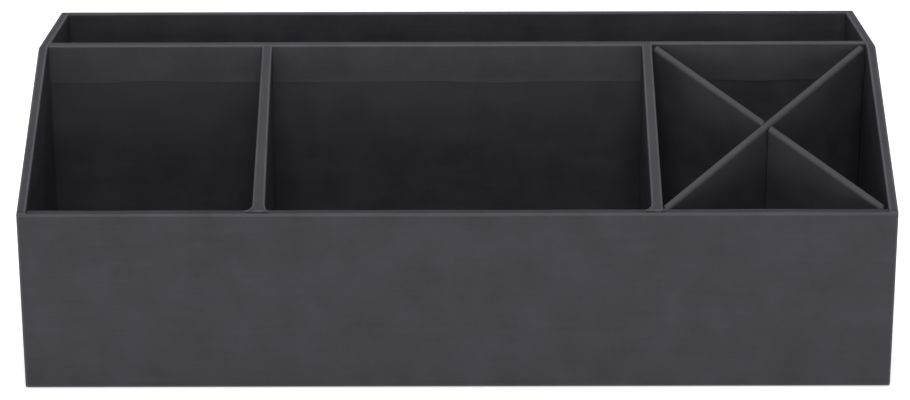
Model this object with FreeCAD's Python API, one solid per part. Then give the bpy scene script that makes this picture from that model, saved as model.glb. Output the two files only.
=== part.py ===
"""Desktop organiser of paper-covered greyboard, with a loose slotted cross divider.

The frame is +Z up, +X to the object's right as seen from its low front, +Y towards its high
back. The origin is the middle of the footprint, on the surface that the box stands on.
All sizes are in millimetres.
"""

import FreeCAD, Part
import math
import os

# ---- overall shape, over the covering paper ------------------------------------------------
WIDTH = 330.0              # across the front
DEPTH = 131.0              # front face to rear face
HEIGHT = 116.5             # level rims at the back
FRONT_HEIGHT = 69.5        # rim of the low front wall
SLOPE_RUN = 70.0           # front face back to where the side rims turn level
KINK_RADIUS = 6.0          # rounding of the side rims where slope and level meet
DIVIDER_SETBACK = 72.5     # front face back to the divider's facing
PARTITION_SPACING = 150.0  # between the centres of the two partitions

# ---- greyboard thicknesses -----------------------------------------------------------------
SIDE_BOARD = 3.0
FRONT_BOARD = 4.5
REAR_BOARD = 2.5
BASE_BOARD = 3.0
DIVIDER_BOARD = 2.75
FACING_BOARD = 2.25        # second board on the divider, in the left and middle bays only
PARTITION_BOARD = 3.5
CROSS_BOARD = 2.0

# ---- papers --------------------------------------------------------------------------------
PAPER = 0.25               # covering paper with its glue
LINING = 0.15              # lining paper
TURN_IN = 15.0             # covering paper carried over a rim and down the inside
TURN_UNDER = 15.0          # covering paper carried under the box
CORNER_LAP = 1.0           # front and rear papers carried onto the side rims
TAB_REACH = 2.0            # partition paper carried onto the front rim
TAB_FLARE = 1.2            # how far that tab spreads on each side of the partition
BASE_PAPER_INSET = 3.0     # base paper held back from the outer edges

# ---- clearances of the loose cross divider ---------------------------------------------------
CROSS_END_GAP = 0.4        # panel ends to the walls of their compartment
CROSS_FLOOR_GAP = 0.2      # panel feet to the floor lining
CROSS_TOP_DROP = 0.3       # panel tops below the line of the bay's rims
SLOT_SIDE_GAP = 0.3        # each side of a panel in the other one's slot
SLOT_DEPTH_GAP = 0.5       # between the two slot ends

# ---- planes that the pieces share ------------------------------------------------------------
SIDE = WIDTH / 2                       # outer face of the side paper
SIDE_OUT = SIDE - PAPER                # outer face of the side board
SIDE_IN = SIDE_OUT - SIDE_BOARD        # inner face of the side board
BAY_SIDE = SIDE_IN - PAPER             # inner face of the side paper's turn-in

FRONT = -DEPTH / 2
FRONT_OUT = FRONT + PAPER
FRONT_IN = FRONT_OUT + FRONT_BOARD
BAY_FRONT = FRONT_IN + PAPER

REAR = DEPTH / 2
REAR_OUT = REAR - PAPER
REAR_IN = REAR_OUT - REAR_BOARD
BAY_REAR = REAR_IN - PAPER

DIVIDER_FRONT = FRONT + DIVIDER_SETBACK        # paper over the facing board
FACING_FRONT = DIVIDER_FRONT + PAPER
DIVIDER_BOARD_FRONT = FACING_FRONT + FACING_BOARD
CROSS_BAY_REAR = DIVIDER_BOARD_FRONT - PAPER    # paper over the divider, in the right bay
DIVIDER_BOARD_REAR = DIVIDER_BOARD_FRONT + DIVIDER_BOARD
DIVIDER_REAR = DIVIDER_BOARD_REAR + PAPER

FLAP_Z = PAPER                         # underside of the turned-under flaps
BOARD_Z = FLAP_Z + PAPER               # underside of every outer board
BASE_TOP = BOARD_Z + BASE_BOARD
FLOOR_Z = BASE_TOP + LINING            # floor of the compartments

RIM_ANGLE = math.atan2(HEIGHT - FRONT_HEIGHT, SLOPE_RUN)
PARTITION_HALF = PARTITION_BOARD / 2 + PAPER
FACING_END = PARTITION_SPACING / 2 + PARTITION_HALF   # paper over the facing board's end
FACING_BOARD_END = FACING_END - PAPER
CROSS_THICKNESS = CROSS_BOARD + 2 * PAPER


# ---- shape helpers ---------------------------------------------------------------------------
def block(x_range, y_range, z_range):
    """Box between three pairs of planes."""
    (x0, x1), (y0, y1), (z0, z1) = x_range, y_range, z_range
    return Part.makeBox(x1 - x0, y1 - y0, z1 - z0, FreeCAD.Vector(x0, y0, z0))


def joined(*shapes):
    """One solid from shapes that overlap or share faces."""
    return shapes[0].multiFuse(list(shapes[1:])).removeSplitter()


def mirrored(shape):
    """The same shape on the other side of the box."""
    return shape.mirror(FreeCAD.Vector(0, 0, 0), FreeCAD.Vector(1, 0, 0))


def rim_face(drop):
    """Side view of everything more than drop below the line of the rims, in the plane x = 0."""
    def at(y, z):
        return FreeCAD.Vector(0, y, z)

    front_z = FRONT_HEIGHT - drop / math.cos(RIM_ANGLE)
    level_z = HEIGHT - drop
    kink_y = FRONT + (level_z - front_z) / math.tan(RIM_ANGLE)
    radius = max(KINK_RADIUS - drop, 0.0)
    tangent = radius * math.tan(RIM_ANGLE / 2)
    slope_end = at(kink_y - tangent * math.cos(RIM_ANGLE), level_z - tangent * math.sin(RIM_ANGLE))
    level_start = at(kink_y + tangent, level_z)
    edges = [
        Part.makeLine(at(FRONT, 0), at(FRONT, front_z)),
        Part.makeLine(at(FRONT, front_z), slope_end),
        Part.makeLine(level_start, at(REAR, level_z)),
        Part.makeLine(at(REAR, level_z), at(REAR, 0)),
        Part.makeLine(at(REAR, 0), at(FRONT, 0)),
    ]
    if radius > 0:
        half = RIM_ANGLE / 2
        crown = at(kink_y + tangent - radius * math.sin(half),
                   level_z - radius + radius * math.cos(half))
        edges.insert(2, Part.Arc(slope_end, crown, level_start).toShape())
    return Part.Face(Part.Wire(edges))


def under_rim(drop, x_range, y_range, bottom):
    """Solid between the given planes, from bottom up to drop below the line of the rims."""
    face = rim_face(drop).translated(FreeCAD.Vector(x_range[0], 0, 0))
    prism = face.extrude(FreeCAD.Vector(x_range[1] - x_range[0], 0, 0))
    return prism.common(block(x_range, y_range, (bottom, HEIGHT)))


def rim_band(drop, x_range, y_range):
    """Strip that follows the line of the rims, drop deep."""
    return under_rim(0, x_range, y_range, FLAP_Z).cut(under_rim(drop, x_range, y_range, FLAP_Z))


def rim_height(y):
    """Height of the line of the rims at depth y, the rounding left out."""
    return min(HEIGHT, FRONT_HEIGHT + (y - FRONT) * math.tan(RIM_ANGLE))


def under_bay_line(drop, x_range, y_range):
    """Solid that stands on the floor between the front wall and y_range's rear plane.

    Its top is drop below a straight line from the front rim's inner edge to the rear rim.
    """
    y_front, y_rear = BAY_FRONT, y_range[1]
    rise = rim_height(y_rear) - FRONT_HEIGHT
    down = drop * math.hypot(1, rise / (y_rear - y_front))
    outline = [(y_front, 0), (y_front, FRONT_HEIGHT - down), (y_rear, FRONT_HEIGHT + rise - down),
               (y_rear, 0), (y_front, 0)]
    wire = Part.makePolygon([FreeCAD.Vector(x_range[0], y, z) for y, z in outline])
    prism = Part.Face(wire).extrude(FreeCAD.Vector(x_range[1] - x_range[0], 0, 0))
    return prism.common(under_rim(drop, x_range, y_range, FLOOR_Z))


# ---- outer boards ----------------------------------------------------------------------------
def base_board():
    """Floor board, inside the four walls."""
    return block((-SIDE_IN, SIDE_IN), (FRONT_IN, REAR_IN), (BOARD_Z, BASE_TOP))


def front_board():
    """Low front wall, between the side boards."""
    return block((-SIDE_IN, SIDE_IN), (FRONT_OUT, FRONT_IN), (BOARD_Z, FRONT_HEIGHT - PAPER))


def rear_board():
    """High back wall, between the side boards."""
    return block((-SIDE_IN, SIDE_IN), (REAR_IN, REAR_OUT), (BOARD_Z, HEIGHT - PAPER))


def side_board():
    """Right side wall with its sloped rim."""
    return under_rim(PAPER, (SIDE_IN, SIDE_OUT), (FRONT_OUT, REAR_OUT), BOARD_Z)


# ---- covering papers of the outer walls --------------------------------------------------------
def front_ear():
    """End of the front paper, turned over the front end of the right side rim."""
    return rim_band(PAPER, (BAY_SIDE, SIDE), (FRONT, FRONT_OUT + CORNER_LAP))


def rear_ear():
    """End of the rear paper, turned over the rear end of the right side rim."""
    return rim_band(PAPER, (BAY_SIDE, SIDE), (REAR_OUT - CORNER_LAP, REAR))


def front_wrap():
    """Paper over the front face, its rim, 15 mm of the inside and the underside."""
    inner_width = (-BAY_SIDE, BAY_SIDE)
    face = block((-SIDE, SIDE), (FRONT, FRONT_OUT), (FLAP_Z, FRONT_HEIGHT))
    rim = block(inner_width, (FRONT, BAY_FRONT), (FRONT_HEIGHT - PAPER, FRONT_HEIGHT))
    turn_in = block(inner_width, (FRONT_IN, BAY_FRONT), (FRONT_HEIGHT - TURN_IN, FRONT_HEIGHT))
    under = block((-SIDE_OUT, SIDE_OUT), (FRONT, FRONT + TURN_UNDER), (FLAP_Z, BOARD_Z))
    return joined(face, rim, turn_in, under, front_ear(), mirrored(front_ear()))


def rear_wrap():
    """Paper over the rear face, its rim, 15 mm of the inside and the underside."""
    inner_width = (-BAY_SIDE, BAY_SIDE)
    face = block((-SIDE, SIDE), (REAR_OUT, REAR), (FLAP_Z, HEIGHT))
    rim = block(inner_width, (BAY_REAR, REAR), (HEIGHT - PAPER, HEIGHT))
    turn_in = block(inner_width, (BAY_REAR, REAR_IN), (HEIGHT - TURN_IN, HEIGHT))
    under = block((-SIDE_OUT, SIDE_OUT), (REAR - TURN_UNDER, REAR), (FLAP_Z, BOARD_Z))
    return joined(face, rim, turn_in, under, rear_ear(), mirrored(rear_ear()))


def side_wrap():
    """Paper over the right side, its sloped rim, 15 mm of the inside and the underside."""
    board_depth = (FRONT_OUT, REAR_OUT)
    face = under_rim(0, (SIDE_OUT, SIDE), board_depth, FLAP_Z)
    rim = rim_band(PAPER, (BAY_SIDE, SIDE), board_depth)
    turn_in = rim_band(TURN_IN, (BAY_SIDE, SIDE_IN), (FRONT_IN, REAR_IN))
    under = block((SIDE - TURN_UNDER, SIDE), (FRONT + TURN_UNDER, REAR - TURN_UNDER),
                  (FLAP_Z, BOARD_Z))
    return joined(face, rim, turn_in, under).cut(front_ear()).cut(rear_ear()).removeSplitter()


def base_paper():
    """Sheet under the box: it laps over the turned-under flaps and dips up to the base board."""
    edge = TURN_UNDER
    lap_x, lap_y = SIDE - BASE_PAPER_INSET, REAR - BASE_PAPER_INSET
    lap = block((-lap_x, lap_x), (-lap_y, lap_y), (0, FLAP_Z))
    middle = block((edge - SIDE, SIDE - edge), (edge + FRONT, REAR - edge), (0, BOARD_Z))
    edge += PAPER
    dip = block((edge - SIDE, SIDE - edge), (edge + FRONT, REAR - edge), (0, FLAP_Z))
    return joined(lap, middle).cut(dip)


# ---- middle divider and partitions --------------------------------------------------------------
def divider_board():
    """Upright board between the front bays and the rear slot."""
    return under_rim(PAPER, (-BAY_SIDE, BAY_SIDE), (DIVIDER_BOARD_FRONT, DIVIDER_BOARD_REAR),
                     BASE_TOP)


def facing_board():
    """Second board on the divider, behind the left and middle bays."""
    return under_rim(PAPER, (-BAY_SIDE, FACING_BOARD_END), (FACING_FRONT, DIVIDER_BOARD_FRONT),
                     BASE_TOP)


def divider_wrap():
    """Paper over the rims of divider and facing and 15 mm down their faces."""
    thick = rim_band(TURN_IN, (-BAY_SIDE, FACING_END), (DIVIDER_FRONT, DIVIDER_REAR))
    thin = rim_band(TURN_IN, (-BAY_SIDE, BAY_SIDE), (CROSS_BAY_REAR, DIVIDER_REAR))
    return joined(thick, thin).cut(divider_board()).cut(facing_board())


def partition_board():
    """Right partition of the front bays, standing on the floor lining."""
    centre, half = PARTITION_SPACING / 2, PARTITION_BOARD / 2
    return under_bay_line(PAPER, (centre - half, centre + half), (BAY_FRONT, DIVIDER_FRONT))


def partition_wrap():
    """Paper over both faces and the rim of the right partition, ending in a tab on the front rim."""
    centre = PARTITION_SPACING / 2
    x_range = (centre - PARTITION_HALF, centre + PARTITION_HALF)
    cover = under_bay_line(0, x_range, (BAY_FRONT, DIVIDER_FRONT)).cut(partition_board())
    tab = block((x_range[0] - TAB_FLARE, x_range[1] + TAB_FLARE),
                (BAY_FRONT - TAB_REACH, BAY_FRONT + PAPER), (FRONT_HEIGHT, FRONT_HEIGHT + PAPER))
    return joined(cover, tab)


# ---- linings --------------------------------------------------------------------------------------
def front_bay_lining():
    """One sheet down the front wall, across the floor and up the divider and its facing."""
    full, right = (-SIDE_IN, SIDE_IN), (FACING_BOARD_END, SIDE_IN)
    front = block(full, (FRONT_IN, FRONT_IN + LINING), (BASE_TOP, FRONT_HEIGHT - TURN_IN))
    floor = block(full, (FRONT_IN, FACING_FRONT), (BASE_TOP, FLOOR_Z))
    right_floor = block(right, (FRONT_IN, DIVIDER_BOARD_FRONT), (BASE_TOP, FLOOR_Z))
    back = under_rim(TURN_IN, (-SIDE_IN, FACING_BOARD_END), (FACING_FRONT - LINING, FACING_FRONT),
                     BASE_TOP)
    step = under_rim(TURN_IN, (FACING_BOARD_END, FACING_BOARD_END + LINING),
                     (FACING_FRONT - LINING, DIVIDER_BOARD_FRONT), BASE_TOP)
    right_back = under_rim(TURN_IN, right, (DIVIDER_BOARD_FRONT - LINING, DIVIDER_BOARD_FRONT),
                           BASE_TOP)
    return joined(front, floor, right_floor, back, step, right_back)


def rear_slot_lining():
    """One sheet down the middle divider, across the floor and up the rear wall."""
    x_range = (-SIDE_IN, SIDE_IN)
    front = under_rim(TURN_IN, x_range, (DIVIDER_BOARD_REAR, DIVIDER_BOARD_REAR + LINING), BASE_TOP)
    floor = block(x_range, (DIVIDER_BOARD_REAR, REAR_IN), (BASE_TOP, FLOOR_Z))
    back = block(x_range, (REAR_IN - LINING, REAR_IN), (BASE_TOP, HEIGHT - TURN_IN))
    return joined(front, floor, back)


def side_lining(y_front, y_rear):
    """Panel on the right side board, between the upright sheets of one bay's lining."""
    y_range = (y_front + LINING, y_rear - LINING)
    return under_rim(TURN_IN, (SIDE_IN - LINING, SIDE_IN), y_range, FLOOR_Z)


# ---- loose cross divider ------------------------------------------------------------------------------
CELL_X = (PARTITION_SPACING / 2 + PARTITION_HALF, BAY_SIDE)
CELL_Y = (BAY_FRONT, CROSS_BAY_REAR)
CELL_CENTRE = FreeCAD.Vector(sum(CELL_X) / 2, sum(CELL_Y) / 2, 0)
CROSS_FOOT = FLOOR_Z + CROSS_FLOOR_GAP
CROSS_ANGLE = math.atan2(CELL_Y[1] - CELL_Y[0], CELL_X[1] - CELL_X[0])


def cross_half_length():
    """Half the length of a panel whose square ends clear both walls at a corner of the cell."""
    diagonal = math.hypot(CELL_X[1] - CELL_X[0], CELL_Y[1] - CELL_Y[0])
    sine, cosine = math.sin(CROSS_ANGLE), math.cos(CROSS_ANGLE)
    half = CROSS_THICKNESS / 2
    inset = max((CROSS_END_GAP + half * sine) / cosine, (CROSS_END_GAP + half * cosine) / sine)
    return diagonal / 2 - inset


def slot_width():
    """Width of a slot that a panel passes through at the crossing angle."""
    crossing = 2 * CROSS_ANGLE
    oblique = CROSS_THICKNESS * (1 + abs(math.cos(crossing))) / math.sin(crossing)
    return oblique + 2 * SLOT_SIDE_GAP


def slot_end():
    """Height where the two slots meet: halfway up the panels at the crossing."""
    crossing_top = (FRONT_HEIGHT + rim_height(CELL_Y[1])) / 2 - CROSS_TOP_DROP
    return (CROSS_FOOT + crossing_top) / 2


def across_cell(half_length, thickness, z_range, turn):
    """Upright block along one diagonal of the cell; turn is +1 or -1."""
    plate = block((-half_length, half_length), (-thickness / 2, thickness / 2), z_range)
    plate.rotate(FreeCAD.Vector(0, 0, 0), FreeCAD.Vector(0, 0, 1), math.degrees(turn * CROSS_ANGLE))
    return plate.translated(CELL_CENTRE)


def slotted_panel(thickness, top_drop, turn, slot_z):
    """Panel along one diagonal, its top following the bay's rims, with its half of the slots."""
    plate = across_cell(cross_half_length(), thickness, (CROSS_FOOT, HEIGHT), turn)
    plate = plate.common(under_bay_line(top_drop, CELL_X, CELL_Y))
    return plate.cut(across_cell(slot_width() / 2, 2 * CROSS_THICKNESS, slot_z, turn))


def panel_board(turn, slot_z):
    """Greyboard of one cross panel."""
    return slotted_panel(CROSS_BOARD, CROSS_TOP_DROP + PAPER, turn, slot_z)


def panel_wrap(turn, slot_z):
    """Paper over both faces and the top of one cross panel."""
    return slotted_panel(CROSS_THICKNESS, CROSS_TOP_DROP, turn, slot_z).cut(panel_board(turn, slot_z))


# ---- all pieces ---------------------------------------------------------------------------------------
def all_pieces():
    """Every piece by its node name."""
    upper = (1, (0, slot_end() + SLOT_DEPTH_GAP / 2))
    lower = (-1, (slot_end() - SLOT_DEPTH_GAP / 2, HEIGHT))
    pieces = {
        "base_board": base_board(),
        "front_board": front_board(),
        "rear_board": rear_board(),
        "middle_divider_board": divider_board(),
        "divider_facing_board": facing_board(),
        "front_wrap": front_wrap(),
        "rear_wrap": rear_wrap(),
        "base_paper": base_paper(),
        "middle_divider_wrap": divider_wrap(),
        "front_bay_lining": front_bay_lining(),
        "rear_slot_lining": rear_slot_lining(),
        "right_front_side_lining": side_lining(FRONT_IN, DIVIDER_BOARD_FRONT),
        "left_front_side_lining": mirrored(side_lining(FRONT_IN, FACING_FRONT)),
        "upper_cross_panel_board": panel_board(*upper),
        "upper_cross_panel_wrap": panel_wrap(*upper),
        "lower_cross_panel_board": panel_board(*lower),
        "lower_cross_panel_wrap": panel_wrap(*lower),
    }
    handed = {
        "side_board": side_board(),
        "side_wrap": side_wrap(),
        "partition_board": partition_board(),
        "partition_wrap": partition_wrap(),
        "rear_side_lining": side_lining(DIVIDER_BOARD_REAR, REAR_IN),
    }
    for name, shape in handed.items():
        pieces["right_" + name] = shape
        pieces["left_" + name] = mirrored(shape)
    return pieces


os.makedirs("parts", exist_ok=True)
for node, piece in all_pieces().items():
    if len(piece.Solids) != 1 or not piece.isValid():
        raise RuntimeError(node + " is not one sound solid")
    piece.Solids[0].exportStep("parts/" + node + ".step")
    print(node, round(piece.Volume, 1))
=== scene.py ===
"""Looks of a desktop organiser: a paper-covered greyboard box with a loose cross divider.

Lengths are in metres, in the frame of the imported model: +Z up, the low front towards -Y. The
papers are thin closed shells, folded over eased greyboard edges. Places come from the frame's
own pieces, and sizes that the frame doesn't carry are fields of the class that uses them.
"""

import logging
import math
from collections.abc import Callable, Sequence
from dataclasses import dataclass
from enum import Enum

import bmesh
import bpy
from mathutils import Matrix, Vector, noise


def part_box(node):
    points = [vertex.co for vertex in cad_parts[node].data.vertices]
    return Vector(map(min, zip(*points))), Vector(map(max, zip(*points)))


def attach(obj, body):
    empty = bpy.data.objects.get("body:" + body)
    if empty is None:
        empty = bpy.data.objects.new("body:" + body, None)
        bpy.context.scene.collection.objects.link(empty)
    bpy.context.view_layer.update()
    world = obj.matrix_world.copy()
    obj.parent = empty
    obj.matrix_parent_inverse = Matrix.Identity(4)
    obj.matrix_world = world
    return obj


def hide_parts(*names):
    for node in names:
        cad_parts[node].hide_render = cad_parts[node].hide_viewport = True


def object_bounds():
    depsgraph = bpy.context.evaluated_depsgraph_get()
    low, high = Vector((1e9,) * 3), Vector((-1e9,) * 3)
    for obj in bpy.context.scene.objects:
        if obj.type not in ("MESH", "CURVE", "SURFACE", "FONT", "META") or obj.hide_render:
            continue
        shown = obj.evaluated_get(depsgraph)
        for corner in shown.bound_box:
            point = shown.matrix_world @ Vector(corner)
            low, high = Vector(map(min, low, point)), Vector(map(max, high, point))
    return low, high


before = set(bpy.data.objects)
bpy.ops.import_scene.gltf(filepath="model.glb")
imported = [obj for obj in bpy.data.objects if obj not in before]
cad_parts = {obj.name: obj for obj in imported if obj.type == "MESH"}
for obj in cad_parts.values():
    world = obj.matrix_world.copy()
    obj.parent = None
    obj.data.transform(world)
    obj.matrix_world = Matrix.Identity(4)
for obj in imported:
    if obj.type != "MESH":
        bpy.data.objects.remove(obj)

log = logging.getLogger("organiser")

MM = 0.001
CAD_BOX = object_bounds()
BOX_BODY = "box"
WELD = 0.002 * MM
SHARP_ANGLE = math.radians(38)
# Least turn between two faces that counts as part of a fold.
FOLD_ANGLE = math.radians(8)
# Stretch of the rims round the kink, before and after it, that gets finer columns.
KINK_BEFORE = 4 * MM
KINK_AFTER = 3 * MM
# Offset that keeps two columns on either side of a plane.
HAIR = 0.01 * MM
# Width of the strip beside a fold over which its lighter colour, burnishing and painted highlight, fades
# out.
FADE = 0.3 * MM

Grid = Sequence[Sequence[Vector]]


# ---- small tools ---------------------------------------------------------------------------
def spread(start: float, end: float, step: float) -> list[float]:
    """Evenly spaced values from start to end.

    Args:
        start: First value.
        end: Last value.
        step: Widest spacing between two values.

    Returns:
        The values, both ends among them.
    """
    count = max(1, math.ceil(abs(end - start) / step))
    return [start + (end - start) * i / count for i in range(count + 1)]


def quarter(count: int) -> list[float]:
    """Angles from 0 to 90 degrees in count equal steps, in radians."""
    return [math.pi / 2 * i / count for i in range(count + 1)]


@dataclass(frozen=True)
class Wave:
    """Slow unevenness of a hand-laid edge or surface."""

    reach: float
    length: float
    seed: float

    def at(self, along: float, across: float = 0.0) -> float:
        """Offset between -reach and +reach.

        Args:
            along: Place along the piece.
            across: Place across the piece, for a surface.

        Returns:
            The offset in metres.
        """
        where = Vector((along / self.length, across / self.length, self.seed))
        return self.reach * max(-1.0, min(1.0, 1.6 * noise.noise(where)))

    def swell(self, along: float, across: float = 0.0) -> float:
        """The same unevenness to one side only, from 0 to reach."""
        return (self.reach + self.at(along, across)) / 2


# ---- the frame's planes --------------------------------------------------------------------
@dataclass(frozen=True)
class RimLine:
    """Line of the side rims seen from the side: a slope, a rounded kink and a level run."""

    front: float
    front_height: float
    height: float
    run: float = 70.0 * MM
    radius: float = 6.0 * MM

    @property
    def angle(self) -> float:
        """Angle of the slope above the level."""
        return math.atan2(self.height - self.front_height, self.run)

    def lean(self, y: float) -> float:
        """Angle of the rim at depth y."""
        arc_end = self.front + self.run + self.radius * math.tan(self.angle / 2)
        if y >= arc_end:
            return 0.0
        return min(self.angle, math.asin(min(1.0, (arc_end - y) / self.radius)))

    def at(self, y: float) -> float:
        """Height of the rim at depth y."""
        arc_end = self.front + self.run + self.radius * math.tan(self.angle / 2)
        if y >= arc_end:
            return self.height
        if self.lean(y) < self.angle:
            return self.height - self.radius + math.sqrt(self.radius**2 - (arc_end - y) ** 2)
        return self.front_height + (y - self.front) * math.tan(self.angle)


@dataclass(frozen=True)
class Planes:
    """Planes that the pieces share, read from the frame's boards and papers."""

    side: float
    side_in: float
    bay_side: float
    front: float
    front_in: float
    bay_front: float
    rear: float
    rear_in: float
    bay_rear: float
    facing_front: float
    divider_front: float
    cross_rear: float
    divider_rear: float
    facing_end: float
    flap: float
    floor: float
    front_height: float
    height: float
    paper: float
    lining: float

    @classmethod
    def read(cls) -> "Planes":
        """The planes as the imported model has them."""
        low, high = CAD_BOX
        front_low, front_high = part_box("front_board")
        rear_low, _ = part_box("rear_board")
        facing_low, facing_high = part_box("divider_facing_board")
        _, divider_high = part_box("middle_divider_board")
        base_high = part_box("base_board")[1]
        side_lining_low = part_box("right_front_side_lining")[0]
        paper = front_low.y - low.y
        lining = base_high.x - side_lining_low.x
        return cls(
            side=high.x, side_in=front_high.x, bay_side=front_high.x - paper,
            front=low.y, front_in=front_high.y, bay_front=front_high.y + paper,
            rear=high.y, rear_in=rear_low.y, bay_rear=rear_low.y - paper,
            facing_front=facing_low.y, divider_front=facing_low.y - paper,
            cross_rear=facing_high.y - paper, divider_rear=divider_high.y + paper,
            facing_end=facing_high.x + paper, flap=front_low.z - paper,
            floor=base_high.z + lining,
            front_height=front_high.z + paper, height=high.z, paper=paper, lining=lining,
        )

    def rim(self) -> RimLine:
        """Line of the side rims."""
        return RimLine(self.front, self.front_height, self.height)


# ---- thin shells and eased boards ----------------------------------------------------------
class Surface:
    """Open sheet of quad grids, welded where their edges meet, that becomes a closed shell."""

    def __init__(self) -> None:
        """Starts with no face."""
        self.mesh = bmesh.new()

    def grid(self, rows: Grid, keep: Callable[[int, int], bool] | None = None) -> None:
        """Adds a grid of quads; its outer side is to the left of the rows, seen along them.

        Args:
            rows: Points, row by row, with as many in each row.
            keep: Says by row and column which quads are made; all of them if it isn't given.
        """
        placed = [[self.mesh.verts.new(point) for point in row] for row in rows]
        for i, (row, after) in enumerate(zip(placed, placed[1:])):
            for j in range(len(row) - 1):
                if keep is None or keep(i, j):
                    self.mesh.faces.new((row[j], row[j + 1], after[j + 1], after[j]))

    def shell(self, name: str, thickness: float) -> bpy.types.Object:
        """Closes the sheet into a shell that lies behind its outer side.

        Args:
            name: Name of the new piece.
            thickness: Thickness of the paper.

        Returns:
            The piece.
        """
        bmesh.ops.remove_doubles(self.mesh, verts=self.mesh.verts, dist=WELD)
        bmesh.ops.dissolve_degenerate(self.mesh, edges=self.mesh.edges, dist=WELD)
        loose = [v for v in self.mesh.verts if not v.link_faces]
        bmesh.ops.delete(self.mesh, geom=loose, context="VERTS")
        sheet = new_piece(name, self.mesh)
        solidify = sheet.modifiers.new("thickness", "SOLIDIFY")
        solidify.thickness = thickness
        solidify.offset = -1
        solidify.use_even_offset = True
        solidify.use_quality_normals = True
        graph = bpy.context.evaluated_depsgraph_get()
        solid = bpy.data.meshes.new_from_object(sheet.evaluated_get(graph))
        sheet.modifiers.clear()
        sheet.data = solid
        solid.name = name
        return smoothed(sheet)


def new_piece(name: str, mesh: bmesh.types.BMesh) -> bpy.types.Object:
    """Turns a bmesh into a piece in the scene and frees it."""
    data = bpy.data.meshes.new(name)
    mesh.to_mesh(data)
    mesh.free()
    piece = bpy.data.objects.new(name, data)
    bpy.context.scene.collection.objects.link(piece)
    bpy.context.view_layer.update()
    return piece


def smoothed(piece: bpy.types.Object) -> bpy.types.Object:
    """Shades the piece smooth, with its real edges kept sharp."""
    piece.data.polygons.foreach_set("use_smooth", [True] * len(piece.data.polygons))
    piece.data.set_sharp_from_angle(angle=SHARP_ANGLE)
    return piece


def eased_board(name: str, outline: Sequence[Vector], depth: Vector, ease: float) -> bpy.types.Object:
    """Board with a flat outline and rounded edges.

    Args:
        name: Name of the new piece.
        outline: Corners of one face, in order.
        depth: From that face to the opposite one.
        ease: Radius that the edges are crushed to.

    Returns:
        The piece.
    """
    mesh = bmesh.new()
    face = mesh.faces.new([mesh.verts.new(point) for point in outline])
    moved = bmesh.ops.extrude_face_region(mesh, geom=[face])["geom"]
    bmesh.ops.translate(mesh, vec=depth, verts=[v for v in moved if isinstance(v, bmesh.types.BMVert)])
    bmesh.ops.recalc_face_normals(mesh, faces=mesh.faces)
    sharp = [edge for edge in mesh.edges if edge.calc_face_angle(0.0) > SHARP_ANGLE]
    bmesh.ops.bevel(mesh, geom=sharp, offset=ease, segments=3, profile=0.5, affect="EDGES",
                    clamp_overlap=True)
    return smoothed(new_piece(name, mesh))


def upright_board(node: str, name: str, ease: float) -> bpy.types.Object:
    """Upright board that fills its node's box.

    Args:
        node: The frame's node.
        name: Name of the new piece.
        ease: Radius of its edges.

    Returns:
        The piece.
    """
    low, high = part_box(node)
    outline = [Vector((low.x, low.y, low.z)), Vector((high.x, low.y, low.z)),
               Vector((high.x, low.y, high.z)), Vector((low.x, low.y, high.z))]
    return eased_board(name, outline, Vector((0, high.y - low.y, 0)), ease)


# ---- finishes --------------------------------------------------------------------------------
def linear(code: str) -> tuple[float, float, float, float]:
    """Turns an sRGB hex colour into linear red, green, blue and alpha."""
    parts = [int(code[i:i + 2], 16) / 255 for i in (1, 3, 5)]
    red, green, blue = (p / 12.92 if p <= 0.04045 else ((p + 0.055) / 1.055) ** 2.4 for p in parts)
    return red, green, blue, 1.0


def per_metre(size_mm: float) -> float:
    """Texture scale that gives a pattern of this size, in millimetres."""
    return 1000.0 / size_mm


def add(tree: bpy.types.NodeTree, kind: str, inputs: dict | None = None, **settings) -> bpy.types.Node:
    """Adds a node with its settings and its links.

    Args:
        tree: The material's or the world's node tree.
        kind: Blender's name for the node.
        inputs: Value, colour or output socket for each input, by name or index.
        **settings: Properties of the node itself.

    Returns:
        The node.
    """
    node = tree.nodes.new(kind)
    for name, value in settings.items():
        setattr(node, name, value)
    for name, value in (inputs or {}).items():
        if isinstance(value, bpy.types.NodeSocket):
            tree.links.new(value, node.inputs[name])
        else:
            node.inputs[name].default_value = value
    return node


class Slot(Enum):
    """Material slots of the record."""

    COVER = "cover_paper"
    LINING = "lining_paper"
    BASE = "base_paper"
    BOARD = "greyboard"


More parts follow.
